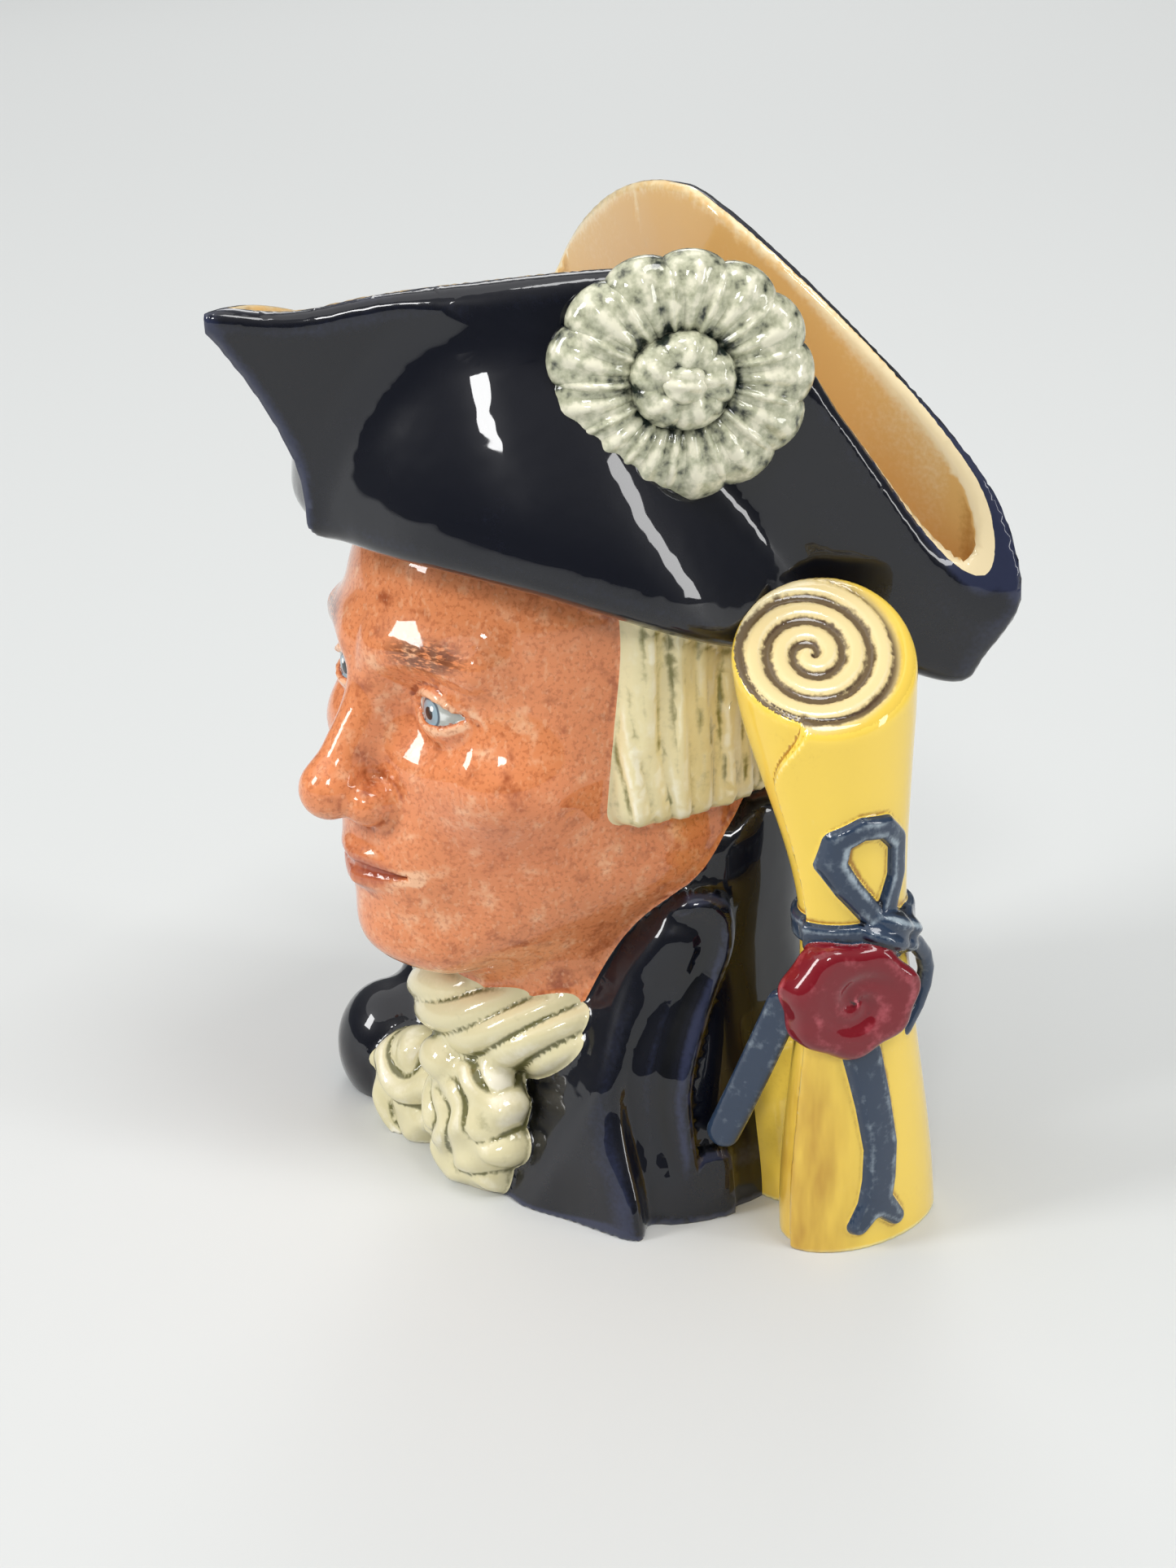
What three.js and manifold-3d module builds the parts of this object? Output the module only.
// Character jug: a slip-cast ceramic head in a cocked hat, with a rolled scroll as its handle.
// Millimetres, +Z up. The origin is on the table, under the middle of the body. The face looks
// along -Y, and the scroll is on the +X side. The jug is one fired piece, open at the top of the hat.
import * as THREE from 'three';
import { mergeVertices } from 'three/addons/utils/BufferGeometryUtils.js';
import Module from 'manifold-3d';

// Driving sizes of the jug
const jugHeight = 188;
const wallThickness = 4.5;
const floorThickness = 7;
const hatFloorThickness = 6;
const flapThickness = 5;
const fingerGap = 14;
const scrollWaistDepth = 17;
const scrollWaistWidth = 22;
const scrollFootDepth = 22.5;
const scrollFootWidth = 35;
const scrollTopDepth = 29;
const scrollTopWidth = 35;
const sheetStep = 2;
const cockadeDiameter = 47;
const cockadeRise = 6;
const cockadePetals = 13;
const sealDiameter = 22.6;
const sealRise = 3.8;
const ribbonWidth = 5.2;
const ribbonRise = 1.5;
const lapelRise = 2.2;
const strandDepth = 0.7;

// The wall that the inner levels below are drawn for; another wall moves the inner skin
const drawnWall = 4.5;

// Fineness of the faceted skin
const cellSize = 1.7;
const triangleGoal = 9400;

// The figure's own forms are shares of its height: there are 188 units in it
const unit = jugHeight / 188;

// Small mathematics of shapes given by their distance
const clamp = (value, low, high) => Math.min(Math.max(value, low), high);
const mix = (a, b, share) => a + (b - a) * share;
const ramp = (value, from, to) => {
  const share = clamp((value - from) / (to - from), 0, 1);
  return share * share * (3 - 2 * share);
};
const join = (a, b, fillet) => {
  const near = Math.max(fillet - Math.abs(a - b), 0) / fillet;
  return Math.min(a, b) - near * near * fillet / 4;
};
const meet = (a, b, fillet) => -join(-a, -b, fillet);
const cut = (a, b, fillet) => meet(a, -b, fillet);

const ball = ([cx, cy, cz], [rx, ry, rz]) => (x, y, z) => {
  const dx = x - cx;
  const dy = y - cy;
  const dz = z - cz;
  const scaled = Math.sqrt((dx / rx) ** 2 + (dy / ry) ** 2 + (dz / rz) ** 2);
  const slope = Math.sqrt((dx / rx / rx) ** 2 + (dy / ry / ry) ** 2 + (dz / rz / rz) ** 2);
  return slope < 1e-9 ? -Math.min(rx, ry, rz) : scaled * (scaled - 1) / slope;
};

const bar = ([ax, ay, az], [bx, by, bz], startRadius, endRadius) => {
  const ex = bx - ax;
  const ey = by - ay;
  const ez = bz - az;
  const square = ex * ex + ey * ey + ez * ez;
  return (x, y, z) => {
    const share = clamp(((x - ax) * ex + (y - ay) * ey + (z - az) * ez) / square, 0, 1);
    const dx = x - ax - ex * share;
    const dy = y - ay - ey * share;
    const dz = z - az - ez * share;
    return Math.sqrt(dx * dx + dy * dy + dz * dz) - mix(startRadius, endRadius, share);
  };
};

// A bent strand: a quadratic curve from one end to the other, drawn towards a middle point
const strand = (start, middle, end, startRadius, endRadius, pieces = 6) => {
  const at = (t) => start.map((value, axis) =>
    (1 - t) * (1 - t) * value + 2 * t * (1 - t) * middle[axis] + t * t * end[axis]);
  const radius = (t) => mix(startRadius, endRadius, t);
  const bars = Array.from({ length: pieces }, (_, i) =>
    bar(at(i / pieces), at((i + 1) / pieces), radius(i / pieces), radius((i + 1) / pieces)));
  return (x, y, z) => {
    let nearest = Infinity;
    for (const piece of bars) nearest = Math.min(nearest, piece(x, y, z));
    return nearest;
  };
};

// A form inside a bounding ball: far from that, the distance to the ball is near enough
const around = (centre, reach, form) => (x, y, z) => {
  const gap = Math.sqrt((x - centre[0]) ** 2 + (y - centre[1]) ** 2 + (z - centre[2]) ** 2) - reach;
  return gap > 10 ? gap : form(x, y, z);
};

// An oval about the upright axis, from its half width and its front and back
function oval(x, y, halfWidth, front, back) {
  const depth = (back - front) / 2;
  const dx = x / halfWidth;
  const dy = (y - (front + back) / 2) / depth;
  const radius = Math.sqrt(dx * dx + dy * dy);
  const slope = Math.sqrt((dx / halfWidth) ** 2 + (dy / depth) ** 2);
  return slope < 1e-9 ? -Math.min(halfWidth, depth) : radius * (radius - 1) / slope;
}

// An oval section that changes with height, from a few named levels
const sleeve = (levels) => (x, y, z) => {
  let upper = 1;
  while (upper < levels.length - 1 && z > levels[upper].z) upper += 1;
  const low = levels[upper - 1];
  const high = levels[upper];
  const share = ramp(z, low.z, high.z);
  return oval(x, y, mix(low.halfWidth, high.halfWidth, share), mix(low.front, high.front, share),
    mix(low.back, high.back, share));
};

// Levels of the coat, from the table up to the collar's edge, and of the space inside the jug
const coatBody = sleeve([
  { z: 0, halfWidth: 49, front: -37, back: 42 },
  { z: 26, halfWidth: 46.5, front: -32, back: 42 },
  { z: 50, halfWidth: 42.5, front: -23, back: 41 },
  { z: 80, halfWidth: 41, front: -14, back: 41 },
]);
const hollowForm = sleeve([
  { z: 8, halfWidth: 46, front: -27, back: 35 },
  { z: 34, halfWidth: 31, front: -20, back: 33 },
  { z: 58, halfWidth: 25, front: -23, back: 32 },
  { z: 92, halfWidth: 30, front: -32, back: 36 },
  { z: 124, halfWidth: 34, front: -40, back: 36 },
  { z: 148, halfWidth: 34, front: -46, back: 30 },
]);

// The head and its features, in units of the figure, drawn on the +X side and mirrored
const cranium = ball([0, -2, 112], [37.5, 46.5, 44]);
const face = ball([0, -15, 84], [33.5, 35, 38]);
const jaw = bar([27, -6, 72], [8, -37, 55], 8, 8);
const cheek = ball([22, -32, 90], [11, 12, 9]);
const chin = ball([0, -41.5, 56.5], [11, 10, 8.5]);
const muzzle = ball([0, -42, 71.5], [14, 10, 11]);
const brow = bar([4, -45.5, 113], [23, -39.5, 113], 4.6, 3.2);
const socket = ball([15.5, -50, 102.5], [10, 8.5, 7.5]);
const bridge = bar([0, -44, 109], [0, -57, 88], 4, 4.6);
const noseTip = ball([0, -57.6, 86.4], [5.4, 5.2, 5]);
const noseWing = ball([6, -52, 84.2], [3.5, 4.8, 4]);
const nostril = ball([3.4, -54.4, 80.2], [1.9, 3, 1.8]);
const upperLip = strand([0, -52.6, 72.9], [6, -52.6, 73.6], [11.6, -46.6, 70.9], 1.9, 0.7);
const lowerLip = strand([0, -52, 68.2], [6, -51.4, 67.6], [10.6, -47, 70.3], 2.3, 0.8);
const mouthLine = strand([0, -54.3, 70.7], [7, -53, 70.3], [12.6, -46.6, 70.6], 0.9, 0.6);
const neck = bar([0, -6, 66], [0, -3, 24], 25.5, 30);
const neckSide = ball([20, 2, 74], [18, 20, 17]);

// An eyeball between two lids
function eyeForm(side, y, z) {
  const [cx, cy, cz] = [15.4, -37.6, 103.4];
  const across = (side - cx) / 7.4;
  const opening = 1 - across * across;
  const height = z - cz;
  const slit = Math.max(height - 3 * opening, -height - 2.3 * opening);
  const globe = Math.sqrt((side - cx) ** 2 + (y - cy) ** 2 + height * height) - 7;
  return Math.min(globe, cut(globe - 1.3, slit, 0.8));
}

function features(x, y, z) {
  const side = Math.abs(x);
  let d = join(face(x, y, z), jaw(side, y, z), 10);
  d = join(d, cheek(side, y, z), 8);
  d = join(d, chin(x, y, z), 7);
  d = join(d, muzzle(x, y, z), 8);
  d = join(d, cranium(x, y, z), 10);
  d = join(d, brow(side, y, z), 6);
  d = cut(d, socket(side, y, z), 6);
  d = join(d, bridge(x, y, z), 5);
  d = join(d, noseTip(x, y, z), 4);
  d = join(d, noseWing(side, y, z), 2.5);
  d = cut(d, nostril(side, y, z), 1.2);
  d = join(d, eyeForm(side, y, z), 1.2);
  d = join(d, upperLip(side, y, z), 1.6);
  d = join(d, lowerLip(side, y, z), 1.6);
  return cut(d, mouthLine(side, y, z), 1);
}

function headForm(x, y, z) {
  const skull = y < 5 ? features(x, y, z) : join(cranium(x, y, z), face(x, y, z), 10);
  const nape = meet(oval(x, y, 34, -15, 39.8), Math.abs(z - 79) - 9, 3);
  return join(join(join(skull, neckSide(Math.abs(x), y, z), 8), neck(x, y, z), 9), nape, 2);
}

// Hair over the ears and round the back, cut straight above the collar, with a short tied queue
const queue = strand([0, 42, 92], [0, 51, 66], [0, 46, 36], 7.5, 3.5);
const queueTie = strand([-6, 46, 70], [0, 54, 71], [6, 46, 70], 2.2, 2.2);
function hairForm(x, y, z) {
  const round = Math.atan2(y, Math.abs(x)) * 40;
  const flow = round + 1.6 * Math.sin(z / 12 + 0.09 * round);
  const lock = Math.sin(flow * 0.85) + 0.5 * Math.sin(flow * 0.42 + 1.3);
  const shell = oval(x, y, 43 - 0.0012 * (z - 98) ** 2, -44, 46) + strandDepth * lock;
  const frontEdge = -(y + 18.6 - 2.6 * ramp(z, 84, 122));
  const hem = 81.2 + 0.04 * y - z;
  const panel = Math.max(meet(meet(shell, frontEdge, 4), hem, 4), overBrim(x, y, z) - 5);
  return join(join(panel, queue(x, y, z), 3), queueTie(x, y, z), 1.5);
}

// A folded neckcloth with two gathered puffs under a small knot
const neckBand = ball([0, -8, 33], [30, 30, 15]);
const knot = ball([1, -38, 24], [6, 4.5, 4.5]);
const nearPuff = ball([7, -33, 12], [14, 8, 15.5]);
const farPuff = ball([-16.5, -32, 7.5], [13, 8, 12.5]);
const cravatForm = around([0, -30, 22], 34, (x, y, z) => {
  const wrap = 1.2 * Math.abs(Math.sin((z - 0.7 * x + 2.4 * Math.sin(x * 0.13 + 0.4)) * 0.36));
  const band = neckBand(x, y, z) - wrap * ramp(-y, 8, 22);
  const spread = Math.atan2(x - 1, 25 - z);
  const reach = Math.hypot(x - 1, z - 25);
  const creases = 1.5 * Math.abs(Math.sin(spread * 4.6 + 0.9 * Math.sin(reach * 0.33 + spread)));
  const near = nearPuff(x, y, z) - creases * ramp(reach, 2, 12);
  const far = farPuff(x, y, z) - creases * ramp(reach, 2, 12);
  return join(join(join(band, near, 2), far, 2), knot(x, y, z), 1.5);
});

// Coat with a standing collar and turned-back lapels, their rolled edges drawn as low ridges. One
// side mirrors the other, but for the shoulder that comes forward at the wearer's right
const ridge = (distance, width) => Math.exp(-((distance / width) ** 2));
const rightShoulder = ball([-35, -28, 8.5], [12.8, 12, 14.5]);
function coatForm(x, y, z) {
  const forward = Math.max(12 - y, 0);
  const slope = 0.5 + 0.051 * forward;
  const frontEdge = (z - 79 + 0.5 * forward + 0.0255 * forward * forward) / Math.sqrt(1 + slope * slope);
  const inside = 4 - 12 * ramp(z, 58, 25) - y;
  const lapel = meet(-inside, z - 65, 5);
  const skirt = meet(y + 1, z - 14, 2);
  const raised = lapelRise / unit * ramp(-Math.min(lapel, skirt), -0.5, 1.4);
  const rolls = ridge(lapel + 2.6, 1.7) - ridge(lapel + 5.8, 1.7);
  const roll = lapelRise / unit / 2 * rolls * ramp(z, 4, 16);
  const pleat = (1.4 + 4 * ramp(z, 36, 0)) * ridge(inside - 15.6, 4.2) * ramp(z, 56, 38);
  const valley = 1.1 * ridge(inside - 9.8, 2.4) * ramp(z, 52, 34);
  const swell = 0.8 * Math.sin(0.24 * y + 1.2 + z * 0.03) * ramp(y, 6, 14) * ramp(z, 70, 30);
  const body = coatBody(x, y, z) - raised - roll - pleat + valley - swell;
  return join(meet(body, frontEdge, 1.6), rightShoulder(x, y, z), 5);
}

// Height above the tilted brim of the hat
const overBrim = (x, y, z) => z - 134 + 20 * ramp(y, -52, 18) + 0.42 * Math.max(y - 18, 0) + 0.06 * x;

// Plan of the hat at a height over the brim: a crown that leans in, and three turned-up flaps
function hatPlan(x, y, h) {
  const lean = ramp(h, 2, 62);
  const crown = oval(x, y, mix(49, 26, lean), mix(-55, -42, lean), mix(45, 26, lean));
  const tip = Math.max(-58 - 17 * (Math.max(h - 6, 0) / 34) ** 1.6, -79);
  const toLeft = ramp(x, -12, 12);
  const cornerX = mix(56, 64, ramp(h, 0, 24)) + 2.5 * toLeft;
  const cornerY = mix(39, mix(50.5, 56, ramp(h, 0, 24)), toLeft);
  const length = Math.hypot(cornerX, cornerY - tip);
  const across = (cornerY - tip) / length;
  const along = cornerX / length;
  const side = Math.abs(x) * across - (y - tip) * along;
  const share = (Math.abs(x) * along + (y - tip) * across) / length;
  const pinch = mix(45, 28, ramp(h, 4, 74));
  const back = y - mix(pinch, cornerY, Math.min(Math.abs(x) / cornerX, 1) ** 1.6);
  return { side, back, share, plan: join(crown, meet(side, back, 5), 6) };
}

// Height of the rim: the side flaps fall towards the rear corners, the back flap peaks in the middle
const sideRimHeight = 178;
const leftRimFall = 68;
const rightRimFall = 21;
const backRimHeight = 188.5;
const backRimRound = 28;
function rimHeight(x, { side, back, share }) {
  const leftRim = sideRimHeight - 1.8 * ridge(share - 0.11, 0.08) + 3 * ramp(share, 0.1, 0.5)
    - leftRimFall * ramp(share, 0.58, 0.97);
  const rightRim = sideRimHeight - rightRimFall * ramp(share, 0.02, 0.5);
  const sideRim = mix(rightRim, leftRim, ramp(x, -4, 4));
  const outward = Math.abs(x + 4);
  const fall = x > -4 ? 1.06 : 0.68;
  const drop = x > -4 ? 10 * ramp(outward, 60, 74) : 12 * ramp(outward, 50, 66);
  const backRim = backRimHeight + backRimRound - Math.hypot(fall * outward, backRimRound) - drop;
  const sideWeight = 1 / (Math.abs(side) + 4) ** 2;
  const backWeight = 1 / (Math.abs(back) + 4) ** 2;
  return (sideRim * sideWeight + backRim * backWeight) / (sideWeight + backWeight);
}

// The hat, and the space between its flaps, which is open at the top
function hatForms(x, y, z) {
  const h = overBrim(x, y, z);
  const parts = hatPlan(x, y, h);
  const walls = meet(parts.plan, -h, 5);
  const solid = meet(walls, z - rimHeight(x, parts), 4);
  const flap = flapThickness / unit * (1 - 0.36 * ramp(parts.share, 0.55, 0.9));
  const space = meet(parts.plan + flap, hatFloorThickness / unit - h, 4);
  return [solid, space];
}

// A rosette of gathered petals round a three-lobed centre, on the flap at the wearer's left
const flapTurn = Math.atan2(126, 66);
const cockadePlace = [38.6, -5.1, 163];
const outer = cockadeDiameter / unit / 2;
const puff = cockadeRise / unit;
const petalWidth = outer * 0.9 * Math.PI / cockadePetals;
const petal = ball([outer * 0.66, 0, 1], [outer * 0.36, petalWidth, puff]);
const lobe = ball([outer * 0.19, 0, 2], [outer * 0.22, outer * 0.22, puff]);
const cushion = ball([0, 0, 0], [outer * 0.92, outer * 0.92, puff * 0.6]);
function folded(form, count, u, v, rise) {
  const step = 2 * Math.PI / count;
  const turn = Math.atan2(v, u);
  const within = turn - Math.round(turn / step) * step;
  const radius = Math.sqrt(u * u + v * v);
  return form(radius * Math.cos(within), radius * Math.sin(within), rise);
}
const cockadeForm = around(cockadePlace, outer + 2, (x, y, z) => {
  const dx = x - cockadePlace[0];
  const dy = y - cockadePlace[1];
  const rise = dx * Math.sin(flapTurn) - dy * Math.cos(flapTurn);
  const u = dx * Math.cos(flapTurn) + dy * Math.sin(flapTurn);
  const v = z - cockadePlace[2];
  let d = folded(petal, cockadePetals, u, v, rise);
  d = join(d, folded(lobe, 3, u, v, rise), 0.8);
  return join(d, cushion(u, v, rise), 1);
});

// The scroll: a rolled sheet, waisted where its ribbon ties it, with a slanted top
const scrollWaistHeight = 66;
const scrollTopHeight = 116;
const coatSide = 43;
const waistX = coatSide + (fingerGap + scrollWaistDepth / 2) / unit;
function scrollSection(z) {
  const below = z < scrollWaistHeight;
  const belly = ramp(z, scrollWaistHeight, below ? 0 : scrollTopHeight);
  return {
    halfDepth: mix(scrollWaistDepth, below ? scrollFootDepth : scrollTopDepth, belly) / 2 / unit,
    halfWidth: mix(scrollWaistWidth, below ? scrollFootWidth : scrollTopWidth, belly) / 2 / unit,
    centreX: waistX - mix(0, below ? 1.8 : 5.4, belly),
    centreY: mix(17, 9.5, clamp(z / scrollTopHeight, 0, 1)),
  };
}

// The part of the roll that lies behind the sheet's free edge, down at the coat
const innerRoll = (x, y, z) => meet(oval(x, y - 16.2, 63.5, -16, 16),
  meet(z - 34 - 0.35 * (x - 46), 44 - x, 3), 3);

const scrollForm = around([62, 13, 60], 72, (x, y, z) => {
  const { halfDepth, halfWidth, centreX, centreY } = scrollSection(z);
  const dx = (x - centreX) / halfDepth;
  const dy = (y - centreY) / halfWidth;
  const radius = Math.sqrt(dx * dx + dy * dy);
  const slope = Math.max(Math.sqrt((dx / halfDepth) ** 2 + (dy / halfWidth) ** 2), 1e-9);
  const seam = -1.42 + 0.6 * ramp(z, 94, 108);
  const turned = ((Math.atan2(dy, dx) - seam) / (2 * Math.PI) + 2) % 1;
  const edgeStep = ramp(turned, 0, 0.02) * ramp(turned, 1, 0.98);
  const wall = radius * (radius - 1) / slope + sheetStep / unit * (turned - 0.5) * edgeStep;
  const top = (x - centreX) * 0.5 - (y - centreY) * 0.2 + (z - scrollTopHeight) * 0.84;
  return join(meet(wall, top, 2.5), innerRoll(x, y, z), 1);
});

// The ribbon round the scroll's waist, with a loop, a knot, a forked tail down the scroll and
// another over to the coat. Its runs are drawn from the side, by Y and Z, and laid on the sheet
const ribbonHalf = ribbonWidth / 2 / unit;
const ribbonLine = (halfWidth, points) => points.slice(1).map((to, i) =>
  bar([points[i][0], 0, points[i][1]], [to[0], 0, to[1]], halfWidth, halfWidth));
const ribbonRuns = [
  ...ribbonLine(ribbonHalf * 0.8, [[9.5, 70.5], [3, 79], [3, 85.6], [9, 87.4], [15.3, 83.5], [13, 70.5]]),
  ...ribbonLine(ribbonHalf * 1.2, [[8.4, 42], [12, 20], [11.4, 10]]),
  bar([11.6, 0, 10.5], [8.6, 0, 6], ribbonHalf, ribbonHalf * 0.6),
  bar([11.6, 0, 10.5], [16, 0, 6], ribbonHalf, ribbonHalf * 0.6),
];
const ribbonKnot = ball([74.4, 14.4, 65.2], [4.4, 6.8, 5.2]);
const tailHalf = ribbonHalf * 1.27;
const coatTail = strand([61, 1, 49], [56.5, -2.5, 34], [50.3, -4.6, 19.5], tailHalf, tailHalf);
const ribbonForm = around([66, 8, 46], 54, (x, y, z) => {
  let shape = Math.abs(z - scrollWaistHeight) - ribbonHalf;
  if (x > scrollSection(z).centreX) {
    for (const run of ribbonRuns) shape = Math.min(shape, run(y, 0, z));
  }
  const flat = meet(shape, Math.abs(scrollForm(x, y, z)) - ribbonRise / unit, 1);
  const slab = Math.abs((x - 55.5) * 0.5 - (y + 1.5) * 0.82) - ribbonRise / unit * 1.27;
  return join(join(flat, ribbonKnot(x, y, z), 1), meet(coatTail(x, y, z), slab, 1), 1);
});

// A round wax seal pressed on the ribbon, with a raised lip
const sealHeight = 54.7;
const sealRadius = sealDiameter / 2 / unit;
const sealLift = sealRise / unit;
const sealPress = ball([sealLift + 2, 0, 0], [3.2, sealRadius * 0.66, sealRadius * 0.66]);
const sealForm = around([73, 6, sealHeight], sealRadius + 4, (x, y, z) => {
  const { centreX, centreY, halfDepth } = scrollSection(sealHeight);
  const dy = y - centreY + 8.2;
  const dz = z - sealHeight;
  const facing = x - centreX - halfDepth + 0.2 - dy * 0.35;
  const edge = Math.hypot(dy, dz) - sealRadius - 0.45 * Math.sin(Math.atan2(dz, dy) * 7);
  return cut(meet(edge, Math.abs(facing) - sealLift, 3), sealPress(facing, dy, dz), 1.2);
});

// The jug's skin reaches a little below the table, and a block takes that off, flat
const footTrim = 3;

// The whole jug: its outer forms joined, then opened by the space inside
function jug(px, py, pz) {
  const x = px / unit;
  const y = py / unit;
  const z = pz / unit;
  const [hat, hatSpace] = hatForms(x, y, z);
  let d = join(headForm(x, y, z), hairForm(x, y, z), 1.5);
  d = join(d, cravatForm(x, y, z), 2);
  d = join(d, coatForm(x, y, z), 1.5);
  d = join(d, hat, 1.5);
  d = join(d, cockadeForm(x, y, z), 1);
  d = join(d, scrollForm(x, y, z), 3);
  d = join(d, ribbonForm(x, y, z), 0.8);
  d = join(d, sealForm(x, y, z), 1);
  const belly = hollowForm(x, y, z) + (wallThickness - drawnWall) / unit;
  const inside = Math.max(meet(belly, floorThickness / unit - z, 5), z - 148);
  return Math.max(cut(d, join(inside, hatSpace, 3), 1) * unit, -footTrim - pz);
}

// Samples the distance on a grid, skipping blocks that lie far from the surface
function sampleGrid(low, counts) {
  const [nx, ny, nz] = counts;
  const values = new Float32Array(nx * ny * nz).fill(1);
  const block = 4;
  const reach = block * cellSize * 1.5;
  for (let k = 0; k < nz; k += block) {
    for (let j = 0; j < ny; j += block) {
      for (let i = 0; i < nx; i += block) {
        const middle = jug(low[0] + (i + block / 2) * cellSize, low[1] + (j + block / 2) * cellSize,
          low[2] + (k + block / 2) * cellSize);
        const skip = Math.abs(middle) > reach;
        for (let c = k; c < Math.min(k + block, nz); c += 1) {
          for (let b = j; b < Math.min(j + block, ny); b += 1) {
            for (let a = i; a < Math.min(i + block, nx); a += 1) {
              values[(c * ny + b) * nx + a] = skip ? middle
                : jug(low[0] + a * cellSize, low[1] + b * cellSize, low[2] + c * cellSize);
            }
          }
        }
      }
    }
  }
  return values;
}

// Fills in where the surface would touch itself in one cell: its nearest open corner turns solid
function clearPinches([nx, ny, nz], values) {
  const strides = [1, nx, nx * ny];
  const corners = Array.from({ length: 8 }, (_, c) =>
    (c & 1) + ((c >> 1) & 1) * strides[1] + (c >> 2) * strides[2]);
  const pairs = [];
  for (let c = 0; c < 8; c += 1) {
    for (const bit of [1, 2, 4]) if (!(c & bit)) pairs.push([c, c | bit]);
  }
  const groupsOf = (mask) => {
    const label = Array.from({ length: 8 }, (_, c) => c);
    for (let pass = 0; pass < 8; pass += 1) {
      for (const [a, b] of pairs) {
        if (((mask >> a) & 1) === ((mask >> b) & 1)) label[a] = label[b] = Math.min(label[a], label[b]);
      }
    }
    return new Set(label).size;
  };
  const faces = [[0, 1, 2, 3], [4, 5, 6, 7], [0, 1, 4, 5], [2, 3, 6, 7], [0, 2, 4, 6], [1, 3, 5, 7]];
  const pinched = Array.from({ length: 2 ** corners.length }, (_, mask) => {
    const bit = (c) => (mask >> c) & 1;
    const crossed = faces.some(([a, b, c, d]) =>
      bit(a) === bit(d) && bit(b) === bit(c) && bit(a) !== bit(b));
    return crossed || groupsOf(mask) > 2;
  });
  let found = true;
  while (found) {
    found = false;
    for (let k = 0; k < nz - 1; k += 1) {
      for (let j = 0; j < ny - 1; j += 1) {
        for (let i = 0; i < nx - 1; i += 1) {
          const at = (k * ny + j) * nx + i;
          let mask = 0;
          for (let c = 0; c < 8; c += 1) if (values[at + corners[c]] < 0) mask |= 1 << c;
          if (!pinched[mask]) continue;
          found = true;
          const open = corners.filter((corner) => values[at + corner] >= 0);
          const nearest = open.reduce((a, b) => (values[at + b] < values[at + a] ? b : a));
          values[at + nearest] = -cellSize / 3;
        }
      }
    }
  }
  return values;
}

// Surface nets: one vertex in each cell that the surface crosses, one quad round each crossed edge
function skinOf(low, counts, values) {
  const [nx, ny, nz] = counts;
  const strides = [1, nx, nx * ny];
  const cellVertex = new Int32Array(nx * ny * nz).fill(-1);
  const positions = [];
  const triangles = [];
  for (let k = 0; k < nz - 1; k += 1) {
    for (let j = 0; j < ny - 1; j += 1) {
      for (let i = 0; i < nx - 1; i += 1) {
        const at = (k * ny + j) * nx + i;
        let crossings = 0;
        const sum = [0, 0, 0];
        for (let axis = 0; axis < 3; axis += 1) {
          const second = (axis + 1) % 3;
          const third = (axis + 2) % 3;
          for (let corner = 0; corner < 4; corner += 1) {
            const offset = [0, 0, 0];
            offset[second] = corner & 1;
            offset[third] = corner >> 1;
            const start = at + offset[0] + offset[1] * strides[1] + offset[2] * strides[2];
            const a = values[start];
            const b = values[start + strides[axis]];
            if (a < 0 === b < 0) continue;
            offset[axis] = a / (a - b);
            crossings += 1;
            sum[0] += offset[0];
            sum[1] += offset[1];
            sum[2] += offset[2];
          }
        }
        if (crossings === 0) continue;
        cellVertex[at] = positions.length / 3;
        [i, j, k].forEach((cell, axis) => {
          positions.push(low[axis] + (cell + sum[axis] / crossings) * cellSize);
        });
      }
    }
  }
  for (let k = 1; k < nz - 1; k += 1) {
    for (let j = 1; j < ny - 1; j += 1) {
      for (let i = 1; i < nx - 1; i += 1) {
        const at = (k * ny + j) * nx + i;
        for (let axis = 0; axis < 3; axis += 1) {
          const inside = values[at] < 0;
          if (inside === values[at + strides[axis]] < 0) continue;
          const second = strides[(axis + 1) % 3];
          const third = strides[(axis + 2) % 3];
          const ring = [at - second - third, at - third, at, at - second].map((cell) => cellVertex[cell]);
          if (!inside) ring.reverse();
          triangles.push(ring[0], ring[1], ring[2], ring[0], ring[2], ring[3]);
        }
      }
    }
  }
  return { positions, triangles };
}

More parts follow.
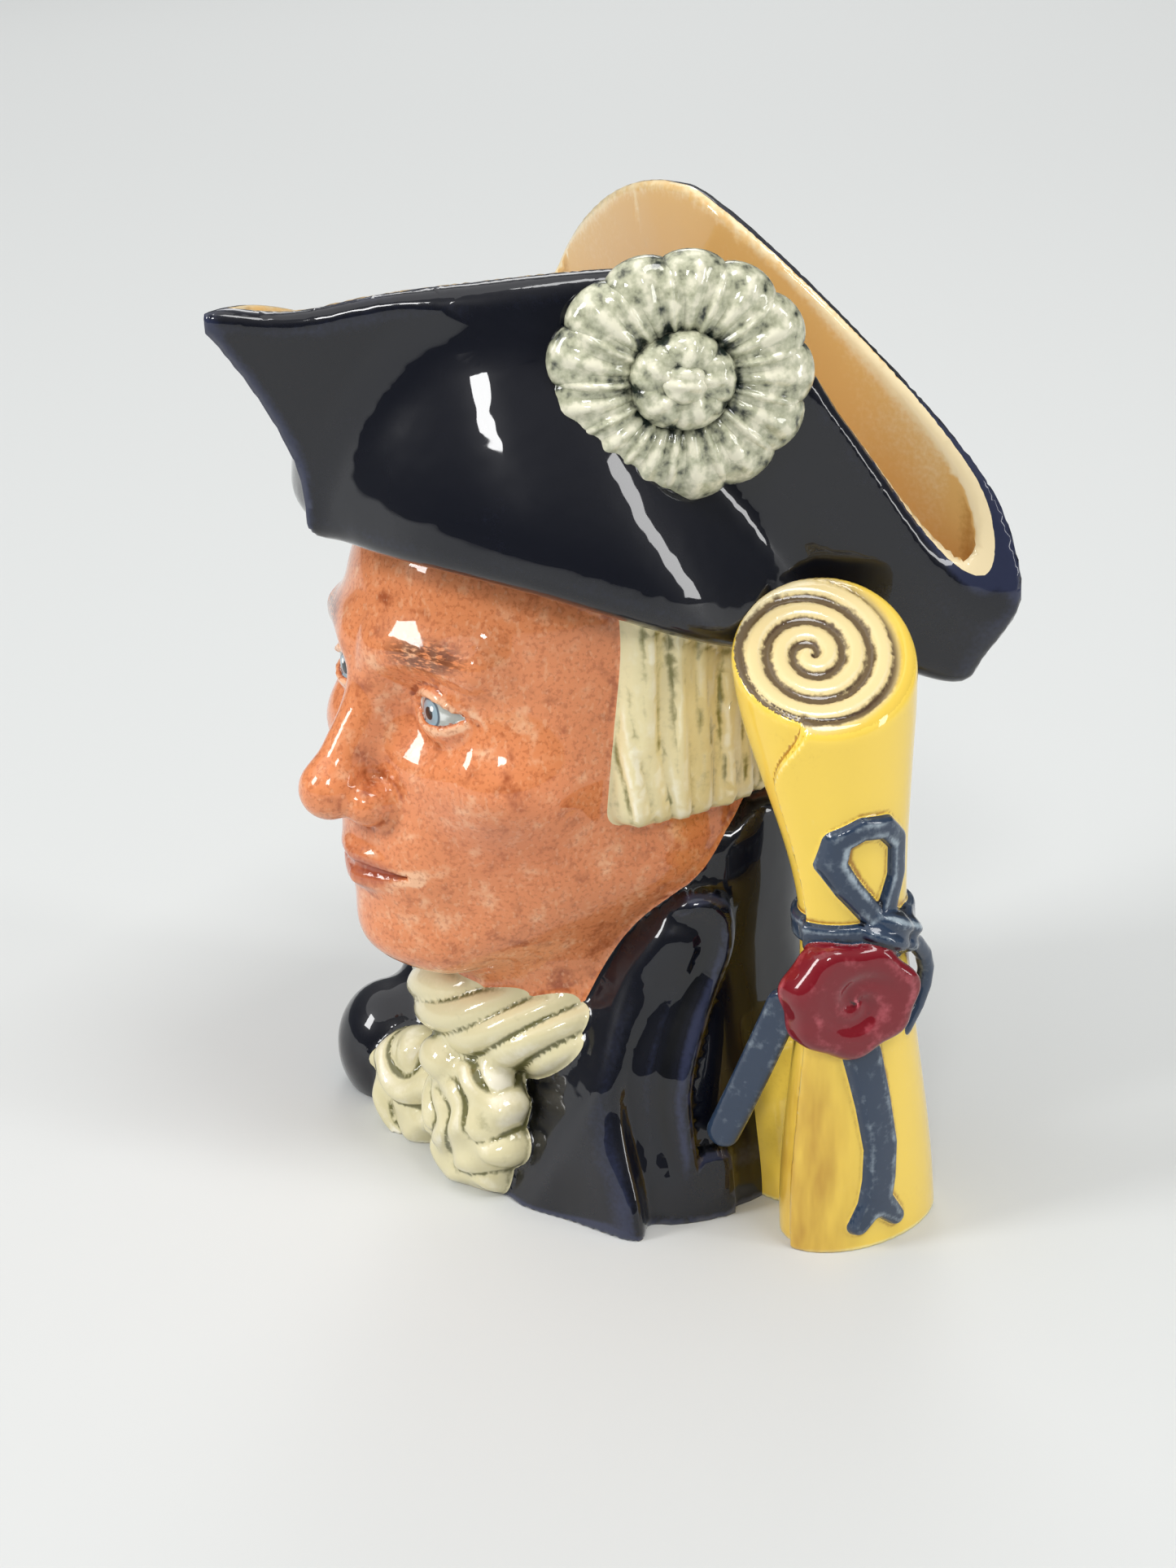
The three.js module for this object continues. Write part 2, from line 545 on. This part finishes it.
// Collapses the edges that matter least, by quadric error, until the goal is met
function thin({ positions, triangles }, goal) {
  const vertexCount = positions.length / 3;
  const quadrics = new Float64Array(vertexCount * 10);
  const faces = [];
  const touching = Array.from({ length: vertexCount }, () => new Set());
  const point = (v) => [positions[v * 3], positions[v * 3 + 1], positions[v * 3 + 2]];
  const cross = (a, b) => [a[1] * b[2] - a[2] * b[1], a[2] * b[0] - a[0] * b[2], a[0] * b[1] - a[1] * b[0]];
  const minus = (a, b) => [a[0] - b[0], a[1] - b[1], a[2] - b[2]];
  const dot = (a, b) => a[0] * b[0] + a[1] * b[1] + a[2] * b[2];
  for (let t = 0; t < triangles.length; t += 3) {
    const face = [triangles[t], triangles[t + 1], triangles[t + 2]];
    const id = faces.push(face) - 1;
    face.forEach((v) => touching[v].add(id));
    const [a, b, c] = face.map(point);
    const raw = cross(minus(b, a), minus(c, a));
    const size = Math.hypot(...raw);
    if (size < 1e-12) continue;
    const n = raw.map((value) => value / size);
    const plane = [...n, -dot(n, a)];
    face.forEach((v) => {
      let slot = v * 10;
      for (let r = 0; r < 4; r += 1) {
        for (let s = r; s < 4; s += 1) {
          quadrics[slot] += plane[r] * plane[s] * size;
          slot += 1;
        }
      }
    });
  }
  const errorAt = (q, [x, y, z]) => q[0] * x * x + 2 * q[1] * x * y + 2 * q[2] * x * z + 2 * q[3] * x
    + q[4] * y * y + 2 * q[5] * y * z + 2 * q[6] * y + q[7] * z * z + 2 * q[8] * z + q[9];
  const bestPlace = (q, ends) => {
    const lead = q[0] + q[4] + q[7];
    const ease = lead * 1e-4;
    const middle = ends[0].map((value, axis) => (value + ends[1][axis]) / 2);
    const rows = [[q[0] + ease, q[1], q[2]], [q[1], q[4] + ease, q[5]], [q[2], q[5], q[7] + ease]];
    const right = [ease * middle[0] - q[3], ease * middle[1] - q[6], ease * middle[2] - q[8]];
    const scale = dot(rows[0], cross(rows[1], rows[2]));
    if (Math.abs(scale) > 1e-12) {
      const columns = [cross(rows[1], rows[2]), cross(rows[2], rows[0]), cross(rows[0], rows[1])];
      const place = [0, 1, 2].map((axis) =>
        (columns[0][axis] * right[0] + columns[1][axis] * right[1] + columns[2][axis] * right[2]) / scale);
      if (Math.hypot(...minus(place, middle)) < 2 * Math.hypot(...minus(ends[0], ends[1]))) return place;
    }
    return [...ends, middle].sort((a, b) => errorAt(q, a) - errorAt(q, b))[0];
  };
  const versions = new Int32Array(vertexCount);
  const heap = [];
  const swap = (i, j) => {
    [heap[i], heap[j]] = [heap[j], heap[i]];
  };
  const push = (entry) => {
    let child = heap.push(entry) - 1;
    while (child > 0 && heap[child].cost < heap[(child - 1) >> 1].cost) {
      swap(child, (child - 1) >> 1);
      child = (child - 1) >> 1;
    }
  };
  const pop = () => {
    const first = heap[0];
    const last = heap.pop();
    if (heap.length === 0) return first;
    heap[0] = last;
    let parent = 0;
    while (true) {
      let least = parent;
      for (const child of [2 * parent + 1, 2 * parent + 2]) {
        if (child < heap.length && heap[child].cost < heap[least].cost) least = child;
      }
      if (least === parent) return first;
      swap(parent, least);
      parent = least;
    }
  };
  const offer = (a, b) => {
    const q = new Float64Array(10);
    for (let i = 0; i < 10; i += 1) q[i] = quadrics[a * 10 + i] + quadrics[b * 10 + i];
    const ends = [point(a), point(b)];
    const place = bestPlace(q, ends);
    const spread = dot(minus(ends[0], ends[1]), minus(ends[0], ends[1]));
    const cost = Math.max(errorAt(q, place), 0) + spread * 1e-3;
    push({ cost, a, b, place, stamp: versions[a] + versions[b] });
  };
  const neighbours = (v) => {
    const found = new Set();
    touching[v].forEach((id) => faces[id].forEach((w) => w !== v && found.add(w)));
    return found;
  };
  const turnsOver = (v, other, place) => {
    for (const id of touching[v]) {
      const face = faces[id];
      if (face.includes(other)) continue;
      const before = face.map(point);
      const after = face.map((w, slot) => (w === v ? place : before[slot]));
      const oldNormal = cross(minus(before[1], before[0]), minus(before[2], before[0]));
      const newNormal = cross(minus(after[1], after[0]), minus(after[2], after[0]));
      const size = Math.hypot(...newNormal);
      if (dot(oldNormal, newNormal) < 0.25 * Math.hypot(...oldNormal) * size) return true;
      const longest = Math.max(...[0, 1, 2].map((s) => Math.hypot(...minus(after[s], after[(s + 1) % 3]))));
      if (size < 0.03 * longest * longest) return true;
    }
    return false;
  };
  for (let v = 0; v < vertexCount; v += 1) neighbours(v).forEach((w) => v < w && offer(v, w));
  let left = faces.length;
  while (left > goal && heap.length > 0) {
    const { a, b, place, stamp } = pop();
    if (versions[a] < 0 || versions[b] < 0 || stamp !== versions[a] + versions[b]) continue;
    if (!touching[a].size || !touching[b].size) continue;
    const aroundB = neighbours(b);
    const shared = [...neighbours(a)].filter((w) => aroundB.has(w));
    if (shared.length !== 2 || turnsOver(a, b, place) || turnsOver(b, a, place)) continue;
    for (const id of [...touching[b]]) {
      const face = faces[id];
      if (face.includes(a)) {
        face.forEach((w) => touching[w].delete(id));
        faces[id] = null;
        left -= 1;
      } else {
        face[face.indexOf(b)] = a;
        touching[b].delete(id);
        touching[a].add(id);
      }
    }
    for (let i = 0; i < 10; i += 1) quadrics[a * 10 + i] += quadrics[b * 10 + i];
    place.forEach((value, axis) => {
      positions[a * 3 + axis] = value;
    });
    versions[b] = -1;
    versions[a] += 1;
    neighbours(a).forEach((w) => offer(a, w));
  }
  return faces.filter(Boolean).flat();
}

const wasm = await Module();
wasm.setup();

function solidOf(geometry) {
  geometry.deleteAttribute('normal');
  geometry.deleteAttribute('uv');
  const merged = mergeVertices(geometry, 1e-3);
  return new wasm.Manifold(new wasm.Mesh({
    numProp: 3,
    vertProperties: new Float32Array(merged.attributes.position.array),
    triVerts: new Uint32Array(merged.index.array),
  }));
}

const margin = 3 * cellSize;
const boxLow = [-78 * unit - margin, -90 * unit - margin, -footTrim - margin];
const boxHigh = [82 * unit + margin, 62 * unit + margin, (backRimHeight + 4) * unit + margin];
const counts = boxLow.map((value, axis) => Math.ceil((boxHigh[axis] - value) / cellSize) + 1);
const skin = skinOf(boxLow, counts, clearPinches(counts, sampleGrid(boxLow, counts)));
const kept = thin(skin, triangleGoal);
const skinGeometry = new THREE.BufferGeometry();
skinGeometry.setAttribute('position', new THREE.Float32BufferAttribute(skin.positions, 3));
skinGeometry.setIndex(kept);
const blockSize = 400 * unit;
const block = new THREE.BoxGeometry(blockSize, blockSize, blockSize);
block.translate(0, 0, -blockSize / 2);
const trimmed = solidOf(skinGeometry.toNonIndexed()).subtract(solidOf(block)).getMesh();

const jugGeometry = new THREE.BufferGeometry();
jugGeometry.setAttribute('position', new THREE.BufferAttribute(trimmed.vertProperties, 3));
jugGeometry.setIndex(new THREE.BufferAttribute(trimmed.triVerts, 1));
jugGeometry.computeVertexNormals();

const glaze = new THREE.MeshStandardMaterial({ color: 0x1b1d2b, roughness: 0.12, metalness: 0 });
const characterJug = new THREE.Mesh(jugGeometry, glaze);
characterJug.name = 'character_jug';

const group = new THREE.Group();
group.add(characterJug);
export default group;
